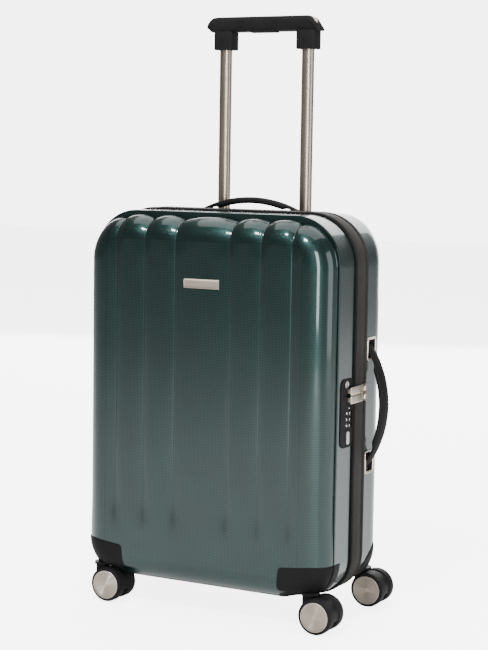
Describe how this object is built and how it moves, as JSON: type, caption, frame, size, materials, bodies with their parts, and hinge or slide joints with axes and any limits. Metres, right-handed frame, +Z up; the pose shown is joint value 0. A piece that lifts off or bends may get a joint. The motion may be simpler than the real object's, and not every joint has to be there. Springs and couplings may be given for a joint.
{
  "type": "hard shell suitcase on wheels",
  "caption": "Upright hard shell cabin suitcase with fluted shells, zip band, combination lock, carry handles, telescopic trolley handle and twin-wheel swivel casters.",
  "frame": {"origin": "on the floor, under the middle of the box round the whole case as it stands with its handle up", "axes": "+X to the right seen from the front, which is the side with the lock and the side handle; +Y to the back; +Z up"},
  "size_m": [0.405, 0.209, 0.816],
  "materials": {
    "shell": "gloss clear coat over woven ribbon plastic",
    "band": "matt rubber-coated fabric",
    "zip_tape": "moulded coil zip on tape",
    "spine_fabric": "woven nylon",
    "black_plastic": "fine grained matt",
    "tube_metal": "champagne anodised satin",
    "tube_outer": "plain drawn",
    "champagne_metal": "champagne satin",
    "steel": "zinc plated satin",
    "lining_cloth": "woven polyester",
    "strap_webbing": "webbing with moulded buckle",
    "dial_plastic": "matt with white digits",
    "soft_grip": "soft touch satin",
    "button_plastic": "satin",
    "fork_plastic": "glass filled nylon, matt",
    "tyre": "matt polyurethane",
    "hubcap_metal": "turned rings, satin"
  },
  "bodies": {
    "rear_case": {"rear_shell": "shell", "rear_rim": "band", "zipper_rear_half": "zip_tape", "hinge_spine": "spine_fabric", "trolley_top_housing": "black_plastic", "trolley_outer_tubes": "tube_outer", "trolley_foot": "black_plastic", "rear_left_wheel_housing": "black_plastic", "rear_right_wheel_housing": "black_plastic", "side_handle_bezels": "champagne_metal", "top_handle_bezels": "champagne_metal", "handle_backing_plates": "steel", "rear_lining": "lining_cloth", "packing_straps": "strap_webbing", "rear_fasteners": "steel"},
    "front_case": {"front_shell": "shell", "front_rim": "band", "zipper_front_half": "zip_tape", "front_left_wheel_housing": "black_plastic", "front_right_wheel_housing": "black_plastic", "front_lining": "lining_cloth", "badge_plate": "champagne_metal", "lock_housing": "black_plastic", "zip_sliders": "champagne_metal", "front_fasteners": "steel"},
    "dial_upper": {"dial_upper": "dial_plastic"},
    "dial_middle": {"dial_middle": "dial_plastic"},
    "dial_lower": {"dial_lower": "dial_plastic"},
    "key_cylinder": {"key_cylinder": "steel"},
    "lock_button": {"lock_button": "steel"},
    "zip_puller_upper": {"zip_puller_upper": "champagne_metal"},
    "zip_puller_lower": {"zip_puller_lower": "champagne_metal"},
    "side_handle": {"side_handle_grip": "soft_grip"},
    "top_handle": {"top_handle_grip": "soft_grip"},
    "trolley_middle": {"trolley_middle_tubes": "tube_metal"},
    "trolley_handle": {"trolley_inner_tubes": "tube_metal", "trolley_grip": "soft_grip", "trolley_grip_trim": "champagne_metal"},
    "trolley_button": {"trolley_release_button": "button_plastic"},
    "caster_fl": {"caster_fork_fl": "fork_plastic"},
    "wheel_fl_front": {"wheel_fl_front": "tyre", "hubcap_fl_front": "hubcap_metal"},
    "wheel_fl_rear": {"wheel_fl_rear": "tyre", "hubcap_fl_rear": "hubcap_metal"},
    "caster_fr": {"caster_fork_fr": "fork_plastic"},
    "wheel_fr_front": {"wheel_fr_front": "tyre", "hubcap_fr_front": "hubcap_metal"},
    "wheel_fr_rear": {"wheel_fr_rear": "tyre", "hubcap_fr_rear": "hubcap_metal"},
    "caster_rl": {"caster_fork_rl": "fork_plastic"},
    "wheel_rl_front": {"wheel_rl_front": "tyre", "hubcap_rl_front": "hubcap_metal"},
    "wheel_rl_rear": {"wheel_rl_rear": "tyre", "hubcap_rl_rear": "hubcap_metal"},
    "caster_rr": {"caster_fork_rr": "fork_plastic"},
    "wheel_rr_front": {"wheel_rr_front": "tyre", "hubcap_rr_front": "hubcap_metal"},
    "wheel_rr_rear": {"wheel_rr_rear": "tyre", "hubcap_rr_rear": "hubcap_metal"}
  },
  "joints": [
    {"name": "lid_hinge", "type": "hinge", "parent": "rear_case", "child": "front_case", "pos_m": [-0.2028, 0.00955, 0.29], "axis": [0, 0, -1], "range_deg": [0, 155], "deforming": ["hinge_spine"]},
    {"name": "trolley_middle_slide", "type": "slide", "parent": "rear_case", "child": "trolley_middle", "axis": [0, 0, 1], "range_m": [0, 0.21]},
    {"name": "trolley_inner_slide", "type": "slide", "parent": "trolley_middle", "child": "trolley_handle", "axis": [0, 0, 1], "range_m": [-0.262, 0]},
    {"name": "trolley_button_press", "type": "slide", "parent": "trolley_handle", "child": "trolley_button", "axis": [0, 0, 1], "range_m": [0, 0.003], "stiffness_N_per_m": 300, "springref_m": -0.002},
    {"name": "side_handle_lift", "type": "slide", "parent": "rear_case", "child": "side_handle", "axis": [1, 0, 0], "range_m": [0, 0.006], "stiffness_N_per_m": 300, "springref_m": -0.002},
    {"name": "top_handle_lift", "type": "slide", "parent": "rear_case", "child": "top_handle", "axis": [0, 0, 1], "range_m": [0, 0.006], "stiffness_N_per_m": 300, "springref_m": -0.002},
    {"name": "dial_upper_turn", "type": "hinge", "parent": "front_case", "child": "dial_upper", "pos_m": [0.1706, -0.03345, 0.2858], "axis": [0, 0, 1], "continuous": true},
    {"name": "dial_middle_turn", "type": "hinge", "parent": "front_case", "child": "dial_middle", "pos_m": [0.1706, -0.03345, 0.2777], "axis": [0, 0, 1], "continuous": true},
    {"name": "dial_lower_turn", "type": "hinge", "parent": "front_case", "child": "dial_lower", "pos_m": [0.1706, -0.03345, 0.2696], "axis": [0, 0, 1], "continuous": true},
    {"name": "key_turn", "type": "hinge", "parent": "front_case", "child": "key_cylinder", "pos_m": [0.1787, -0.04095, 0.325], "axis": [1, 0, 0], "range_deg": [0, 90]},
    {"name": "lock_button_press", "type": "slide", "parent": "front_case", "child": "lock_button", "axis": [-1, 0, 0], "range_m": [0, 0.0015], "stiffness_N_per_m": 400, "springref_m": -0.001},
    {"name": "puller_upper_swing", "type": "hinge", "parent": "front_case", "child": "zip_puller_upper", "pos_m": [0.1837, 0.00355, 0.3159], "axis": [0, 0, 1], "range_deg": [0, 85]},
    {"name": "puller_lower_swing", "type": "hinge", "parent": "front_case", "child": "zip_puller_lower", "pos_m": [0.1837, 0.00355, 0.3045], "axis": [0, 0, 1], "range_deg": [0, 85]},
    {"name": "swivel_fl", "type": "hinge", "parent": "front_case", "child": "caster_fl", "pos_m": [-0.173, -0.08245, 0.052], "axis": [0, 0, 1], "continuous": true},
    {"name": "spin_fl_front", "type": "hinge", "parent": "caster_fl", "child": "wheel_fl_front", "pos_m": [-0.157, -0.09645, 0.024], "axis": [0, 1, 0], "continuous": true},
    {"name": "spin_fl_rear", "type": "hinge", "parent": "caster_fl", "child": "wheel_fl_rear", "pos_m": [-0.157, -0.06845, 0.024], "axis": [0, 1, 0], "continuous": true},
    {"name": "swivel_fr", "type": "hinge", "parent": "front_case", "child": "caster_fr", "pos_m": [0.151, -0.08245, 0.052], "axis": [0, 0, 1], "continuous": true},
    {"name": "spin_fr_front", "type": "hinge", "parent": "caster_fr", "child": "wheel_fr_front", "pos_m": [0.167, -0.09645, 0.024], "axis": [0, 1, 0], "continuous": true},
    {"name": "spin_fr_rear", "type": "hinge", "parent": "caster_fr", "child": "wheel_fr_rear", "pos_m": [0.167, -0.06845, 0.024], "axis": [0, 1, 0], "continuous": true},
    {"name": "swivel_rl", "type": "hinge", "parent": "rear_case", "child": "caster_rl", "pos_m": [-0.173, 0.08245, 0.052], "axis": [0, 0, 1], "continuous": true},
    {"name": "spin_rl_front", "type": "hinge", "parent": "caster_rl", "child": "wheel_rl_front", "pos_m": [-0.157, 0.06845, 0.024], "axis": [0, 1, 0], "continuous": true},
    {"name": "spin_rl_rear", "type": "hinge", "parent": "caster_rl", "child": "wheel_rl_rear", "pos_m": [-0.157, 0.09645, 0.024], "axis": [0, 1, 0], "continuous": true},
    {"name": "swivel_rr", "type": "hinge", "parent": "rear_case", "child": "caster_rr", "pos_m": [0.151, 0.08245, 0.052], "axis": [0, 0, 1], "continuous": true},
    {"name": "spin_rr_front", "type": "hinge", "parent": "caster_rr", "child": "wheel_rr_front", "pos_m": [0.167, 0.06845, 0.024], "axis": [0, 1, 0], "continuous": true},
    {"name": "spin_rr_rear", "type": "hinge", "parent": "caster_rr", "child": "wheel_rr_rear", "pos_m": [0.167, 0.09645, 0.024], "axis": [0, 1, 0], "continuous": true}
  ]
}
